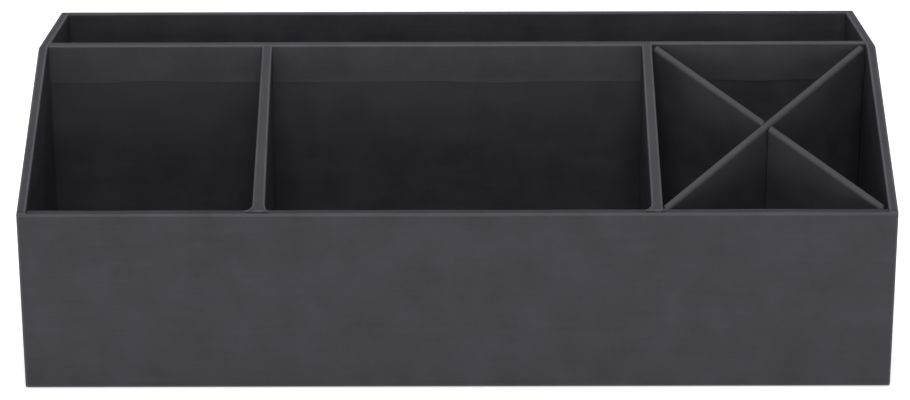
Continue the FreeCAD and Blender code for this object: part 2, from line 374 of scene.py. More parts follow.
@dataclass(frozen=True)
class DyedPaper:
    """Pulp-dyed book-covering paper, calendered on one side and glued down.

    It is matt, with slow cloudy mottling where the dye took unevenly, short fibres that lie
    mostly along the sheet, and sparse darker flecks. Folds are lighter: partly burnishing, partly a
    painted highlight where the rounded fold catches the light.
    """

    name: str
    slot: Slot
    deep: str
    pale: str
    # Fold colour: partly burnishing, partly a painted highlight on the rounded folds.
    fold: str
    roughness: float
    mottle_mm: float = 17.0
    streak_mm: float = 1.3
    streak_length_mm: float = 26.0
    # Real fibres are near 0.05 mm across. They are drawn coarser so that they show.
    fibre_mm: float = 0.45
    fleck_mm: float = 3.4
    bump: float = 0.22
    height_mm: float = 0.05

    def material(self) -> bpy.types.Material:
        """The paper's node material."""
        material = bpy.data.materials.new(self.name)
        material.use_nodes = True
        tree = material.node_tree
        shader = tree.nodes["Principled BSDF"]
        place = add(tree, "ShaderNodeTexCoord").outputs["Object"]
        cloud = add(tree, "ShaderNodeTexNoise", {"Vector": place, "Scale": per_metre(self.mottle_mm),
                                                 "Detail": 5.0, "Roughness": 0.62})
        grain = add(tree, "ShaderNodeMapping", {"Vector": place, "Scale": self._stretch()})
        streaks = add(tree, "ShaderNodeTexNoise", {"Vector": grain.outputs[0], "Scale": 1.0,
                                                   "Detail": 3.0, "Roughness": 0.6})
        fibres = add(tree, "ShaderNodeTexNoise", {"Vector": place, "Scale": per_metre(self.fibre_mm),
                                                  "Detail": 2.0, "Roughness": 0.7})
        tone = self._sum(tree, (cloud, 0.62), (streaks, 0.22), (fibres, 0.3))
        spot = self._flecks(tree, place)
        share = add(tree, "ShaderNodeMapRange", {"Value": tone, "From Min": 0.42, "From Max": 0.72})
        body = add(tree, "ShaderNodeMix", {0: share.outputs[0], 6: linear(self.deep),
                                           7: linear(self.pale)}, data_type="RGBA")
        # Painted highlight with some burnishing on the folds: the fold mark mixes in the lighter fold
        # colour.
        highlight_and_burnish_mark = add(tree, "ShaderNodeAttribute", attribute_name="fold", attribute_type="GEOMETRY")
        highlight_and_burnish_share = add(tree, "ShaderNodeMath", {0: highlight_and_burnish_mark.outputs["Fac"], 1: tone}, operation="MULTIPLY",
                     use_clamp=True)
        edge = add(tree, "ShaderNodeMix", {0: highlight_and_burnish_share.outputs[0], 6: body.outputs[2],
                                           7: linear(self.fold)}, data_type="RGBA")
        flecked = add(tree, "ShaderNodeMix", {0: spot, 6: edge.outputs[2], 7: (0.004, 0.004, 0.005, 1)},
                      data_type="RGBA")
        dull = add(tree, "ShaderNodeMapRange", {"Value": tone, "From Min": 0.3, "From Max": 0.8,
                                                "To Min": self.roughness - 0.05,
                                                "To Max": self.roughness + 0.06})
        relief = self._sum(tree, (fibres, 0.75), (cloud, 0.4), (streaks, 0.25))
        bump = add(tree, "ShaderNodeBump", {"Height": relief, "Strength": self.bump,
                                            "Distance": self.height_mm * MM})
        for socket, source in (("Base Color", flecked.outputs[2]), ("Roughness", dull.outputs[0]),
                               ("Normal", bump.outputs[0])):
            tree.links.new(source, shader.inputs[socket])
        shader.inputs["IOR"].default_value = 1.5
        shader.inputs["Specular IOR Level"].default_value = 0.5
        return material

    def _stretch(self) -> tuple[float, float, float]:
        """Scale of the streaks: long along the width, fine across it."""
        fine = per_metre(self.streak_mm)
        return per_metre(self.streak_length_mm), fine, fine

    @staticmethod
    def _sum(tree: bpy.types.NodeTree, *parts: tuple[bpy.types.Node, float]) -> bpy.types.NodeSocket:
        """Weighted sum of noise nodes.

        Args:
            tree: The material's node tree.
            *parts: Each noise node and its weight.

        Returns:
            The socket that holds the sum.
        """
        total: bpy.types.NodeSocket | float = 0.0
        for node, weight in parts:
            total = add(tree, "ShaderNodeMath", {0: node.outputs["Fac"], 1: weight, 2: total},
                        operation="MULTIPLY_ADD").outputs[0]
        return total

    def _flecks(self, tree: bpy.types.NodeTree, place: bpy.types.NodeSocket) -> bpy.types.NodeSocket:
        """Strength of the sparse dark flecks.

        Args:
            tree: The material's node tree.
            place: Coordinates of the pattern.

        Returns:
            Socket from 0 to the flecks' full strength.
        """
        cells = add(tree, "ShaderNodeTexVoronoi", {"Vector": place, "Scale": per_metre(self.fleck_mm)})
        near = add(tree, "ShaderNodeMapRange", {"Value": cells.outputs["Distance"], "From Min": 0.05,
                                                "From Max": 0.13, "To Min": 1.0, "To Max": 0.0})
        pick = add(tree, "ShaderNodeSeparateColor", {"Color": cells.outputs["Color"]})
        few = add(tree, "ShaderNodeMapRange", {"Value": pick.outputs[0], "From Min": 0.72,
                                               "From Max": 1.0, "To Min": 0.0, "To Max": 0.55})
        both = add(tree, "ShaderNodeMath", {0: near.outputs[0], 1: few.outputs[0]},
                   operation="MULTIPLY")
        return both.outputs[0]


@dataclass(frozen=True)
class Greyboard:
    """Recycled greyboard, pressed in layers and guillotined.

    Its cut edges show: a dull warm grey with flecks of fibre and faint layers along the sheet.
    """

    name: str = "greyboard_guillotined"
    slot: Slot = Slot.BOARD
    deep: str = "#5E5A55"
    pale: str = "#8C877F"
    layer_mm: float = 0.5
    fleck_mm: float = 1.2
    roughness: float = 0.86

    def material(self) -> bpy.types.Material:
        """The board's node material."""
        material = bpy.data.materials.new(self.name)
        material.use_nodes = True
        tree = material.node_tree
        shader = tree.nodes["Principled BSDF"]
        place = add(tree, "ShaderNodeTexCoord").outputs["Object"]
        pulp = add(tree, "ShaderNodeTexNoise", {"Vector": place, "Scale": per_metre(self.fleck_mm),
                                                "Detail": 6.0, "Roughness": 0.7})
        layers = add(tree, "ShaderNodeTexWave", {"Vector": place, "Scale": per_metre(self.layer_mm) / 6,
                                                 "Distortion": 3.0, "Detail": 2.0})
        mixed = add(tree, "ShaderNodeMath", {0: layers.outputs["Fac"], 1: 0.25,
                                             2: pulp.outputs["Fac"]}, operation="MULTIPLY_ADD")
        colour = add(tree, "ShaderNodeMix", {0: mixed.outputs[0], 6: linear(self.deep),
                                             7: linear(self.pale)}, data_type="RGBA")
        bump = add(tree, "ShaderNodeBump", {"Height": mixed.outputs[0], "Strength": 0.3,
                                            "Distance": 0.1 * MM})
        tree.links.new(colour.outputs[2], shader.inputs["Base Color"])
        tree.links.new(bump.outputs[0], shader.inputs["Normal"])
        shader.inputs["Roughness"].default_value = self.roughness
        return material


# The third colour of each paper is its fold colour: burnishing with a painted highlight.
COVER_PAPER = DyedPaper("covering_paper_dyed_calendered", Slot.COVER, "#1E1E27", "#303038",
                        "#54545C", roughness=0.64)
LINING_PAPER = DyedPaper("lining_paper_dyed_uncoated", Slot.LINING, "#1A1A22", "#2C2C33",
                         "#363640", roughness=0.74, mottle_mm=14.0)
BASE_PAPER = DyedPaper("base_paper_dyed_uncoated", Slot.BASE, "#1C1C23", "#28282F",
                       "#323239", roughness=0.78, mottle_mm=20.0)
GREYBOARD = Greyboard()


class Wardrobe:
    """Makes each finish once and dresses pieces in it."""

    def __init__(self) -> None:
        """Starts with no material made."""
        self.made: dict[str, bpy.types.Material] = {}

    def dress(self, piece: bpy.types.Object, finish: DyedPaper | Greyboard, body: str,
              *stands_for: str) -> bpy.types.Object:
        """Gives a piece its finish, its body and the frame nodes that it stands for.

        Args:
            piece: The piece.
            finish: Its finish.
            body: The body that it moves with.
            *stands_for: The frame's nodes that it replaces.

        Returns:
            The piece.
        """
        self._cover(piece, finish)
        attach(piece, body)
        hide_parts(*stands_for)
        log.info("%s: %d faces, %s", piece.name, len(piece.data.polygons), finish.name)
        return piece

    def dress_node(self, node: str, finish: DyedPaper | Greyboard) -> None:
        """Gives a node that the frame carries over its finish."""
        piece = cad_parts[node]
        self._cover(piece, finish)
        log.info("%s: kept from the frame, %s", node, finish.name)

    def _cover(self, piece: bpy.types.Object, finish: DyedPaper | Greyboard) -> None:
        """Puts the finish in the piece's material slots."""
        if finish.name not in self.made:
            self.made[finish.name] = finish.material()
        piece.data.materials.clear()
        piece.data.materials.append(self.made[finish.name])


def mark_folds(piece: bpy.types.Object, highlight_and_burnish: float = 1.0) -> None:
    """Marks the points of a shell that are on a fold, for the lighter colour of its folds: burnishing and
    a painted highlight.

    Args:
        piece: The shell.
        highlight_and_burnish: Strength of the folds' painted highlight and burnishing, from 0 to 1.
    """
    mesh = piece.data
    marks = [0.0] * len(mesh.vertices)
    normals = [Vector(polygon.normal) for polygon in mesh.polygons]
    users: dict[tuple[int, int], list[int]] = {}
    for polygon in mesh.polygons:
        for key in polygon.edge_keys:
            users.setdefault(key, []).append(polygon.index)
    for (a, b), faces in users.items():
        if len(faces) == 2:
            turn = normals[faces[0]].angle(normals[faces[1]], 0.0)
            if FOLD_ANGLE < turn < SHARP_ANGLE:
                marks[a] = marks[b] = highlight_and_burnish
    attribute = mesh.attributes.new("fold", "FLOAT", "POINT")
    attribute.data.foreach_set("value", marks)


# ---- outer walls -----------------------------------------------------------------------------
class Wall(Enum):
    """The two end walls, by the way that they face along Y."""

    FRONT = -1
    REAR = 1


@dataclass
class EndPaper:
    """Covering paper of the front or rear wall: face, rim, turn-in, flap and side ears."""

    planes: Planes
    wall: Wall
    radius: float = 0.7 * MM
    fold: float = 0.7 * MM
    inner_radius: float = 0.5 * MM
    soft_radius: float = 0.5 * MM
    crown: float = 0.0
    turn_in: float = 15.0 * MM
    turn_under: float = 15.0 * MM
    lap: float = 0.25 * MM
    slack: float = 0.55 * MM
    lift: float = 0.25 * MM
    # Strength of the painted highlight and burnishing on the folds.
    highlight_and_burnish: float = 0.6
    step: float = 3.5 * MM

    @property
    def height(self) -> float:
        """Height of this wall's rim."""
        return self.planes.front_height if self.wall is Wall.FRONT else self.planes.height

    @property
    def thickness(self) -> float:
        """Thickness of this wall over its papers."""
        if self.wall is Wall.FRONT:
            return self.planes.bay_front - self.planes.front
        return self.planes.rear - self.planes.bay_rear

    @property
    def lean(self) -> float:
        """Slope of the side rims where this paper's ears lap onto them."""
        return self.planes.rim().angle if self.wall is Wall.FRONT else 0.0

    def point(self, x: float, inward: float, z: float) -> Vector:
        """Point at a distance inward from the wall's outer face."""
        outer = self.planes.front if self.wall is Wall.FRONT else self.planes.rear
        return Vector((x, outer - self.wall.value * inward, z))

    def stations(self, x_start: float) -> list[tuple[float, float, float, float]]:
        """Plan of the right end, from x_start round the corner onto the side.

        Args:
            x_start: Where the stations begin.

        Returns:
            For each station the centre of its rounding and the outward direction, in plan.
        """
        corner = self.planes.side - self.radius
        flat = [(x, self.radius, 0.0, -1.0)
                for x in spread(x_start, corner - FADE, self.step) + [corner]]
        bend = [(corner, self.radius, math.sin(a), -math.cos(a)) for a in quarter(4)[1:]]
        return flat + bend + [(corner, self.radius + self.lap, 1.0, 0.0)]

    def ring(self, stations: Sequence[tuple], angle: float, level: float, sign: int) -> list[Vector]:
        """Row of points at one fold angle.

        Args:
            stations: Plan stations.
            angle: Fold angle, 0 on the upright face.
            level: Height of the row.
            sign: +1 for the right end, -1 for the left.

        Returns:
            The row.
        """
        arm = self.radius * math.cos(angle)
        return [self.point(sign * (x + dx * arm), y + dy * arm, level) for x, y, dx, dy in stations]

    def face_rows(self, stations: Sequence[tuple], sign: int) -> list[list[Vector]]:
        """Bottom fold and upright face, from below to the start of the top fold."""
        bottom = self.planes.flap + self.radius
        rows = [self.ring(stations, a, bottom - self.radius * math.sin(a), sign)
                for a in reversed(quarter(4))]
        for z in spread(bottom + FADE, self.height - self.fold - FADE, self.step):
            rows.append(self.ring(stations, 0.0, z, sign))
        rows.append(self.ring(stations, 0.0, self.height - self.fold, sign))
        return rows

    def ear_rows(self, stations: Sequence[tuple], sign: int) -> list[list[Vector]]:
        """Top fold of an ear, tangent to the side rim."""
        rows = []
        for angle in quarter(4):
            row = self.ring(stations, angle, 0.0, sign)
            for point, (_, y, _, dy) in zip(row, stations):
                inward = y + dy * self.radius * math.cos(angle)
                down = self.fold * (1 - math.sin(angle))
                point.z = self.height + inward * math.tan(self.lean) - down
            rows.append(row)
        return rows

    def section(self, x: float) -> list[tuple[float, float]]:
        """Rim and turn-in at x: distance inward and height of each point, from the top fold on."""
        seed = 3.0 + self.wall.value
        edge = Wave(0.5 * MM, 30 * MM, seed)
        soft = Wave(self.soft_radius, 55 * MM, seed + 10).swell(x)
        bulge = Wave(self.slack, 70 * MM, seed + 20).swell(x)
        inner = self.inner_radius + soft
        top, inside = self.height, self.thickness
        shoulder = top + Wave(self.crown, 45 * MM, seed + 5).swell(x)
        points = [(self.fold * (1 - math.cos(a)), top - self.fold * (1 - math.sin(a)))
                  for a in quarter(5)]
        points += [(self.fold + FADE, top), (inside - inner - FADE, shoulder), (inside - inner, shoulder)]
        points += [(inside - inner * (1 - math.sin(a)), shoulder - inner * (1 - math.cos(a)))
                   for a in quarter(4)[1:]]
        reach = self.turn_in - inner + edge.at(x)
        for share in [FADE / reach] + spread(0.0, 1.0, 0.1)[1:]:
            proud = bulge * math.sin(math.pi * share) + self.lift * max(0.0, share - 0.85) / 0.15
            points.append((inside + proud, shoulder - inner - reach * share))
        return points

    def build(self, name: str) -> bpy.types.Object:
        """Builds the paper.

        Args:
            name: Name of the piece.

        Returns:
            The piece.
        """
        surface = Surface()
        faces_back = self.wall is Wall.REAR

        def lay(rows: list[list[Vector]], mirror: bool = False) -> None:
            """Adds rows to the sheet, wound so that they face outwards."""
            surface.grid(rows[::-1] if mirror == faces_back else rows)

        for sign in (1, -1):
            ends = self.stations(self.planes.bay_side)
            ear_flat = [s for s in ends if s[3] == -1.0]
            lay(self.face_rows(ends, sign)[::-1], sign < 0)
            lay(self.ear_rows(ends, sign)[::-1], sign < 0)
            rim_rows = [[self.point(sign * x, q, self.height + q * math.tan(self.lean))
                         for x, *_ in ear_flat] for q in (self.radius, self.radius + self.lap)]
            lay(rim_rows[::-1], sign < 0)
            flap_ends = [[self.point(sign * x, q, self.planes.flap) for x, *_ in ear_flat]
                         for q in spread(self.radius, self.turn_under, self.step)]
            lay(flap_ends, sign < 0)
        xs = spread(-self.planes.bay_side, self.planes.bay_side, self.step)
        middle = [(x, self.radius, 0.0, -1.0) for x in xs]
        lay(self.face_rows(middle, 1)[::-1])
        columns = [self.section(x) for x in xs]
        lay([[self.point(x, *column[i]) for x, column in zip(xs, columns)]
             for i in reversed(range(len(columns[0])))])
        lay([[self.point(x, q, self.planes.flap) for x in xs]
             for q in spread(self.radius, self.turn_under, self.step)])
        piece = surface.shell(name, self.planes.paper)
        mark_folds(piece, self.highlight_and_burnish)
        return piece


@dataclass
class SidePaper:
    """Covering paper of a side wall: face, sloped rim, turn-in and flap."""

    planes: Planes
    sign: int
    radius: float = 0.7 * MM
    inner_radius: float = 0.6 * MM
    turn_in: float = 15.0 * MM
    turn_under: float = 15.0 * MM
    start: float = 1.15 * MM
    lift: float = 0.2 * MM
    step: float = 3.0 * MM

    def depths(self) -> list[float]:
        """Depths of the columns, closer together round the kink and at the end walls."""
        p = self.planes
        kink = p.front + p.rim().run
        stops = [p.front + self.start, p.bay_front - HAIR, p.bay_front + HAIR, kink - KINK_BEFORE,
                 kink + KINK_AFTER, p.bay_rear - HAIR, p.bay_rear + HAIR, p.rear - self.start]
        steps = [self.step, MM, self.step, 0.6 * MM, self.step, MM, self.step]
        depths = [stops[0]]
        for low, high, step in zip(stops, stops[1:], steps):
            depths += spread(low, high, step)[1:]
        return depths

    def turn_in_end(self, y: float) -> float:
        """Height where the turn-in ends at depth y."""
        p = self.planes
        rim, stretch = p.rim().at(y), 1 / math.cos(p.rim().lean(y))
        if y < p.bay_front:
            return min(p.front_height, rim - 1.05 * self.inner_radius * stretch)
        if y > p.bay_rear:
            return rim - 1.05 * self.inner_radius * stretch
        edge = Wave(0.5 * MM, 24 * MM, 31.0 + self.sign).at(y)
        return rim - (self.turn_in + edge) * stretch

    def section(self, y: float) -> list[tuple[float, float]]:
        """Distance from the middle plane and height of each point at depth y, bottom fold first."""
        p = self.planes
        rim, stretch = p.rim().at(y), 1 / math.cos(p.rim().lean(y))
        centre, bottom = p.side - self.radius, p.flap + self.radius
        points = [(centre + self.radius * math.cos(a), bottom - self.radius * math.sin(a))
                  for a in reversed(quarter(4))]
        top = rim - self.radius * stretch
        low, high = bottom + FADE, top - FADE
        points += [(p.side, low + (high - low) * i / 24) for i in range(25)] + [(p.side, top)]
        points += [(centre + self.radius * math.cos(a), top + self.radius * stretch * math.sin(a))
                   for a in quarter(4)[1:]]
        inner = p.bay_side + self.inner_radius
        points += [(centre - FADE, rim), (inner + FADE, rim), (inner, rim)]
        points += [(inner - self.inner_radius * math.sin(a),
                    rim - self.inner_radius * stretch * (1 - math.cos(a))) for a in quarter(4)[1:]]
        low, high = self.turn_in_end(y), rim - self.inner_radius * stretch
        for share in [0.02] + spread(0.0, 1.0, 0.125)[1:]:
            proud = self.lift * max(0.0, share - 0.8) / 0.2 if p.bay_front < y < p.bay_rear else 0.0
            points.append((p.bay_side - proud, high + (low - high) * share))
        return points

    def build(self, name: str) -> bpy.types.Object:
        """Builds the paper.

        Args:
            name: Name of the piece.

        Returns:
            The piece.
        """
        p, surface = self.planes, Surface()
        ys = self.depths()
        columns = [self.section(y) for y in ys]
        rows = [[Vector((self.sign * column[i][0], y, column[i][1])) for y, column in zip(ys, columns)]
                for i in range(len(columns[0]))]
        flap_ys = spread(p.front + self.turn_under, p.rear - self.turn_under, self.step)
        flap = [[Vector((self.sign * x, y, p.flap)) for y in flap_ys]
                for x in spread(p.side - self.turn_under, p.side - self.radius - HAIR, self.step)]
        surface.grid(rows if self.sign > 0 else rows[::-1])
        surface.grid(flap if self.sign > 0 else flap[::-1])
        piece = surface.shell(name, p.paper)
        mark_folds(piece)
        return piece


@dataclass
class OuterWalls:
    """The four outer boards and their covering papers."""

    planes: Planes
    wardrobe: Wardrobe
    ease: float = 0.6 * MM
    kink_step: float = 0.7 * MM

    def wall_board(self, node: str, name: str) -> None:
        """Builds and dresses the front or rear board."""
        board = upright_board(node, name, self.ease)
        self.wardrobe.dress(board, GREYBOARD, BOX_BODY, node)

    def side_board(self, node: str, name: str) -> None:
        """Builds a side board under the line of the rims."""
        low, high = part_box(node)
        rim, drop = self.planes.rim(), self.planes.paper
        kink = self.planes.front + rim.run
        ys = [low.y] + spread(kink - KINK_BEFORE, kink + KINK_AFTER, self.kink_step) + [high.y]
        top = [Vector((low.x, y, rim.at(y) - drop / math.cos(rim.lean(y)))) for y in reversed(ys)]
        outline = [Vector((low.x, low.y, low.z)), Vector((low.x, high.y, low.z))] + top
        board = eased_board(name, outline, Vector((high.x - low.x, 0, 0)), self.ease)
        self.wardrobe.dress(board, GREYBOARD, BOX_BODY, node)

    def build(self) -> None:
        """Builds and dresses every piece of the outer walls."""
        self.wall_board("front_board", "front_wall_board")
        self.wall_board("rear_board", "rear_wall_board")
        front = EndPaper(self.planes, Wall.FRONT, fold=0.8 * MM, crown=0.3 * MM, slack=0.12 * MM,
                         lift=0.1 * MM)
        rear = EndPaper(self.planes, Wall.REAR, fold=0.6 * MM)
        for end, name in ((front, "front"), (rear, "rear")):
            paper = end.build(name + "_cover_paper")
            self.wardrobe.dress(paper, COVER_PAPER, BOX_BODY, name + "_wrap")
        for sign, hand in ((-1, "left"), (1, "right")):
            self.side_board(hand + "_side_board", hand + "_wall_board")
            paper = SidePaper(self.planes, sign).build(hand + "_cover_paper")
            self.wardrobe.dress(paper, COVER_PAPER, BOX_BODY, hand + "_side_wrap")


# ---- middle divider and partitions -------------------------------------------------------------
@dataclass
class MiddleDivider:
    """Divider between the front bays and the rear slot, doubled behind the left and middle bays."""

    planes: Planes
    wardrobe: Wardrobe
    radius: float = 0.55 * MM
    turn_in: float = 15.0 * MM
    lift: float = 0.12 * MM
    ease: float = 0.5 * MM
    step: float = 2.5 * MM

    def section(self, x: float, front: float) -> list[Vector]:
        """Points at x from the front edge of the paper over the rim to its rear edge."""
        top, rear, r = self.planes.height, self.planes.divider_rear, self.radius
        front_edge = Wave(0.9 * MM, 34 * MM, 51.0).at(x)
        rear_edge = Wave(0.7 * MM, 30 * MM, 57.0).at(x)
        sides = []
        for plane, outward, edge in ((front, -1, front_edge), (rear, 1, rear_edge)):
            low = top - self.turn_in + edge
            side = []
            for share in spread(0.0, 1.0, 0.1)[:-1]:
                proud = self.lift * max(0.0, 0.12 - share) / 0.12
                side.append(Vector((x, plane + outward * proud, low + (top - r - low) * share)))
            side.append(Vector((x, plane, top - r - FADE)))
            side += [Vector((x, plane - outward * r * (1 - math.cos(a)),
                             top - r * (1 - math.sin(a)))) for a in quarter(4)]
            side.append(Vector((x, plane - outward * (r + FADE), top)))
            sides.append(side)
        return sides[0] + sides[1][::-1]

    def paper(self) -> bpy.types.Object:
        """Paper over the rim and down both faces, with a step where the facing board ends."""
        p, surface = self.planes, Surface()
        columns = [self.section(x, p.divider_front)
                   for x in spread(-p.bay_side, p.facing_end, self.step)]
        columns += [self.section(x, p.cross_rear) for x in spread(p.facing_end, p.bay_side, self.step)]
        surface.grid(columns[::-1])
        piece = surface.shell("divider_cover_paper", p.paper)
        mark_folds(piece)
        return piece

    def board(self, node: str, name: str) -> None:
        """Builds and dresses one of the two boards."""
        board = upright_board(node, name, self.ease)
        self.wardrobe.dress(board, GREYBOARD, BOX_BODY, node)

    def build(self) -> None:
        """Builds and dresses the divider."""
        self.board("middle_divider_board", "divider_core_board")
        self.board("divider_facing_board", "divider_front_board")
        self.wardrobe.dress(self.paper(), COVER_PAPER, BOX_BODY, "middle_divider_wrap")


@dataclass
class Partition:
    """Partition between two front bays, with a tab of its paper on the front rim."""

    planes: Planes
    wardrobe: Wardrobe
    hand: str
    flare: tuple[float, float]
    loose: tuple[float, float]
    radius: float = 0.6 * MM
    tab_reach: float = 3.6 * MM
    tab_spread: float = 0.5 * MM
    tab_rise: float = 0.42 * MM
    tab_edge_rise: float = 0.26 * MM
    ear_run: float = 2.6 * MM
    ear_step: float = 0.4 * MM
    rear_drop: float = 0.1 * MM
    front_drop: float = 0.35 * MM
    ease: float = 0.7 * MM
    rows: int = 14
    step: float = 3.0 * MM

    def top(self, y: float) -> float:
        """Height of the partition's rim at depth y."""
        p = self.planes
        share = (y - p.bay_front) / (p.divider_front - p.bay_front)
        return p.front_height + (p.height - p.front_height) * share

    def section(self, y: float, half: float, centre: float) -> list[Vector]:
        """Points at depth y from the left foot over the rim to the right foot.

        Args:
            y: Depth of the section.
            half: Half the partition's thickness over its paper.
            centre: Middle of the partition.

        Returns:
            The points; the paper stands a little off the board towards the front.
        """
        p, r = self.planes, self.radius
        rise = (p.height - p.front_height) / (p.divider_front - p.bay_front)
        stretch, top = math.hypot(1, rise), self.top(y)
        forward = max(0.0, (p.divider_front - y) / (p.divider_front - p.bay_front))
        sides = []
        for hand, loose in zip((-1, 1), self.loose):
            ear = max(0.0, 1 - (y - p.bay_front) / self.ear_run) ** 2
            out = half + loose * forward**1.5 + self.flare[0 if hand < 0 else 1] * ear
            high = top - r * stretch - FADE
            side = [(out, p.floor + (high - p.floor) * i / self.rows) for i in range(self.rows + 1)]
            side += [(out - r * (1 - math.cos(a)), top - r * stretch * (1 - math.sin(a)))
                     for a in quarter(4)]
            side.append((out - r - FADE, top))
            sides.append([Vector((centre + hand * x, y, z)) for x, z in side])
        return sides[0] + sides[1][::-1]

    def tab(self, first: Sequence[Vector], centre: float) -> list[list[Vector]]:
        """Ragged tab that runs from the partition's rim onto the front rim.

        Args:
            first: The rim's points at the partition's front end.
            centre: Middle of the partition.

        Returns:
            Columns from the front edge of the tab to the rim's first column.
        """
        p = self.planes
        ragged = Wave(0.8 * MM, 1.6 * MM, 71.0 + centre * 40)
        columns = []
        for share in (1.0, 0.66, 0.33):
            column = []
            for i, point in enumerate(first):
                across = 2 * i / (len(first) - 1) - 1
                half = abs(first[0 if across < 0 else -1].x - centre) + self.tab_spread * share
                reach = self.tab_reach * share + (ragged.at(point.x) if share == 1.0 else 0.0)
                lump = Wave(0.12 * MM, 1.5 * MM, 77.0).swell(across * 0.003, share * 0.003)
                rise = self.tab_edge_rise if share == 1.0 else self.tab_rise
                column.append(Vector((centre + across * half, p.bay_front - reach,
                                      p.front_height + rise + lump)))
            columns.append(column)
        return columns + [list(first)]

    def paper(self) -> bpy.types.Object:
        """Paper over both faces, the rim and the tab."""
        low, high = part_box(self.hand + "_partition_board")
        centre, half = (low.x + high.x) / 2, (high.x - low.x) / 2 + self.planes.paper
        surface = Surface()
        ear_end = self.planes.bay_front + self.ear_run
        ys = spread(self.planes.bay_front, ear_end, self.ear_step)
        ys += spread(ear_end, self.planes.divider_front, self.step)[1:]
        columns = [self.section(y, half, centre) for y in ys]
        rim = slice(self.rows + 1, -self.rows - 1)
        surface.grid(columns)
        surface.grid(self.tab([v.copy() for v in columns[0][rim]], centre))
        piece = surface.shell(self.hand + "_partition_paper", self.planes.paper)
        mark_folds(piece)
        return piece

    def board(self) -> bpy.types.Object:
        """Board inside the paper."""
        low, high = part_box(self.hand + "_partition_board")
        outline = [Vector((low.x, low.y, low.z)), Vector((low.x, high.y, low.z)),
                   Vector((low.x, high.y, high.z - self.rear_drop)),
                   Vector((low.x, low.y, self.top(low.y) - self.front_drop))]
        return eased_board(self.hand + "_partition_core", outline, Vector((high.x - low.x, 0, 0)),
                           self.ease)

    def build(self) -> None:
        """Builds and dresses the partition."""
        self.wardrobe.dress(self.board(), GREYBOARD, BOX_BODY, self.hand + "_partition_board")
        self.wardrobe.dress(self.paper(), COVER_PAPER, BOX_BODY, self.hand + "_partition_wrap")


# ---- linings -------------------------------------------------------------------------------------
@dataclass
class TroughLining:
    """Lining sheet that runs down one wall, across the floor and up the opposite wall."""

    planes: Planes
    name: str
    front_top: float
    rear_top: float
    front_plane: float
    rear_planes: Sequence[tuple[float, float, float]]
    bend: float = 0.6 * MM
    corner: float = 0.9 * MM
    flap: float = 2.0 * MM
    step: float = 4.0 * MM

    def section(self, front: float, rear: float) -> list[tuple[float, float]]:
        """Depth and height of each point from the front wall's top to the rear wall's.

        Args:
            front: Depth of the front sheet.
            rear: Depth of the rear sheet, which may differ along the box.

        Returns:
            The points, as many for every depth of the rear sheet.
        """
        floor, r = self.planes.floor, self.bend
        widest = max(plane for *_, plane in self.rear_planes) - front
        steps = math.ceil(widest / self.step)
        points = [(front, z) for z in spread(self.front_top, floor + r, self.step)]
        points += [(front + r * (1 - math.cos(a)), floor + r * (1 - math.sin(a))) for a in quarter(4)[1:]]
        points += [(front + r + (rear - front - 2 * r) * i / steps, floor) for i in range(1, steps + 1)]
        points += [(rear - r * (1 - math.sin(a)), floor + r * (1 - math.cos(a))) for a in quarter(4)[1:]]
        return points + [(rear, z) for z in spread(floor + r, self.rear_top, self.step)[1:]]

    def corner_flap(self, plane: float, inward: int, top: float, sign: int) -> list[list[Vector]]:
        """Strip of a wall's sheet that turns onto the side wall.

        Args:
            plane: Depth of the wall's sheet.
            inward: +1 if the wall faces the rear, -1 if it faces the front.
            top: Height of the strip.
            sign: +1 for the right side wall, -1 for the left.

        Returns:
            Rows from the top down.
        """
        p, c = self.planes, self.corner
        reach = p.side_in - 2 * p.lining
        plan = [(reach - c * (1 - math.sin(a)), c * (1 - math.cos(a))) for a in quarter(3)]
        plan.append((reach, c + self.flap))
        ragged = Wave(0.5 * MM, 18 * MM, plane * 900 + sign)
        rows = []
        for z in spread(top, p.floor + self.bend, self.step):
            row = [Vector((sign * x, plane + inward * q, z)) for x, q in plan]
            row[-1].y += inward * ragged.at(z)
            rows.append(row)
        return rows

    def build(self) -> bpy.types.Object:
        """Builds the lining."""
        p, surface = self.planes, Surface()
        limit = p.side_in - 2 * p.lining - self.corner
        columns: list[list[Vector]] = []
        for start, end, rear in self.rear_planes:
            low, high = max(start, -limit), min(end, limit)
            section = self.section(self.front_plane, rear)
            for x in spread(low, high, self.step):
                columns.append([Vector((x, y, z)) for y, z in section])
        surface.grid(columns[::-1])
        for sign, rear in ((-1, self.rear_planes[0][2]), (1, self.rear_planes[-1][2])):
            for plane, inward, top in ((self.front_plane, 1, self.front_top), (rear, -1, self.rear_top)):
                rows = self.corner_flap(plane, inward, top, sign)
                surface.grid(rows if sign * inward > 0 else rows[::-1])
            floor_ys = [y for y, z in self.section(self.front_plane, rear) if z == p.floor]
            edge = [[Vector((sign * x, y, p.floor)) for x in (limit, p.side_in - p.lining)]
                    for y in floor_ys]
            surface.grid(edge if sign > 0 else edge[::-1])
        return surface.shell(self.name, p.lining)


@dataclass
class SideLining:
    """Lining panel on a side wall, between the upright sheets of one bay's lining."""

    planes: Planes
    node: str
    sign: int
    turn_in: float = 15.0 * MM
    tuck: float = 0.9 * MM
    rows: int = 24
    step: float = 4.0 * MM

    def build(self) -> bpy.types.Object:
        """Builds the panel."""
        p, surface, rim = self.planes, Surface(), self.planes.rim()
        low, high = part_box(self.node)
        face = p.side_in - p.lining
        columns = []
        for y in spread(low.y, high.y, self.step):
            top = rim.at(y) - (self.turn_in - self.tuck) / math.cos(rim.lean(y))
            columns.append([Vector((self.sign * face, y, low.z + (top - low.z) * i / self.rows))
                            for i in range(self.rows + 1)])
        surface.grid(columns if self.sign > 0 else columns[::-1])
        return surface.shell(self.node.replace("lining", "lining_panel"), p.lining)


